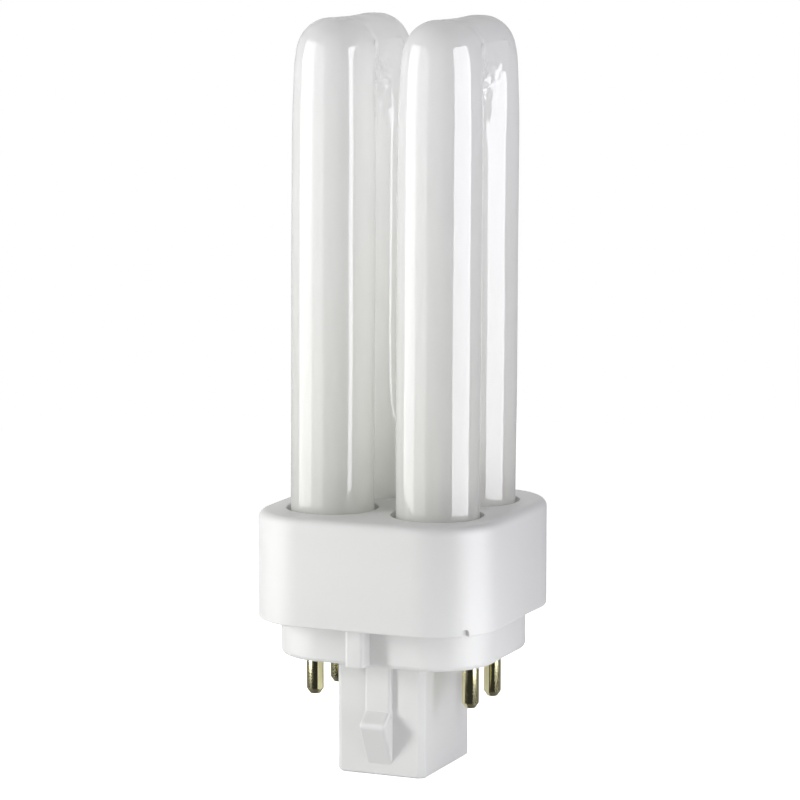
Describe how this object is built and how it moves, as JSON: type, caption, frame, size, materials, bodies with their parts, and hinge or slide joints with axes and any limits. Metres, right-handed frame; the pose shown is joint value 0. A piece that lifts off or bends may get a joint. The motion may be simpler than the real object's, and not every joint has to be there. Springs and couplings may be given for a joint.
{
  "type": "compact fluorescent lamp",
  "caption": "Plug-in compact fluorescent lamp: bent glass tubes side by side in a square plastic cap, with a latching plug and contact pins below.",
  "frame": {"origin": "centre of the plug's foot, on the lamp's axis", "axes": "+Z along the lamp's axis from the plug towards the glass, +Y from the front latch rib to the back one, +X from the left bent tube to the right one"},
  "size_m": [0.034, 0.034, 0.1023],
  "materials": {
    "cap_plastic": "moulded white plastic with a soft sheen",
    "coated_glass": "clear polished glass over an even white coating",
    "cement": "matte baked cement",
    "pin_brass": "bright turned brass",
    "lead_metal": "drawn nickel-plated wire"
  },
  "bodies": {
    "root": {"base_plug": "cap_plastic", "cap_collar": "cap_plastic", "discharge_tube": "coated_glass", "basing_cement": "cement", "contact_pin_front_left": "pin_brass", "contact_pin_front_right": "pin_brass", "contact_pin_back_left": "pin_brass", "contact_pin_back_right": "pin_brass", "lead_wire_front_left": "lead_metal", "lead_wire_front_right": "lead_metal", "lead_wire_back_left": "lead_metal", "lead_wire_back_right": "lead_metal"}
  },
  "joints": []
}
